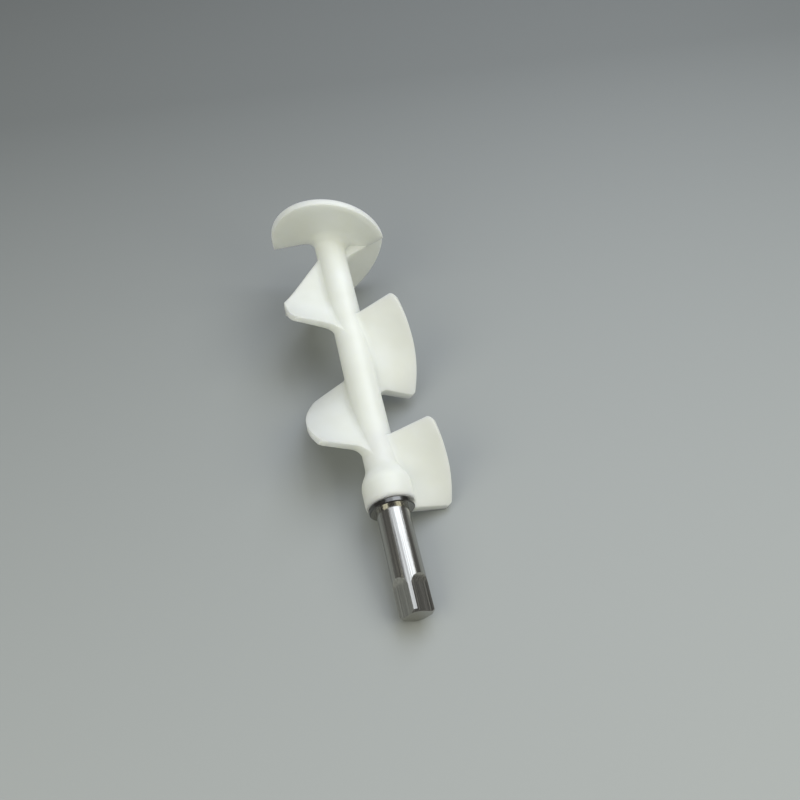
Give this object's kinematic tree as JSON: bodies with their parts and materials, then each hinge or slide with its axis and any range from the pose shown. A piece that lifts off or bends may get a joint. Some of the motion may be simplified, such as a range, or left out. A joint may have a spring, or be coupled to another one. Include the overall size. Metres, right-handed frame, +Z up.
{
  "type": "ice cream machine agitator shaft",
  "caption": "White moulded beater with cut helical wings and slanted end plates on a rod, on a steel drive shaft with a milled square end, for stirring and feeding soft ice cream.",
  "frame": {"origin": "under the middle of the box around the part as it lies, on the surface that it rests on", "axes": "+Z up, +Y along the part from the steel drive end to the end plates, +X to the right of that"},
  "size_m": [0.073, 0.2704, 0.0753],
  "materials": {
    "white_plastic": "white food-grade moulded plastic, satin, slightly translucent",
    "stainless_steel": "turned and polished stainless steel with milled flats"
  },
  "bodies": {
    "root": {"agitator_body": "white_plastic", "drive_shaft": "stainless_steel"}
  },
  "joints": []
}
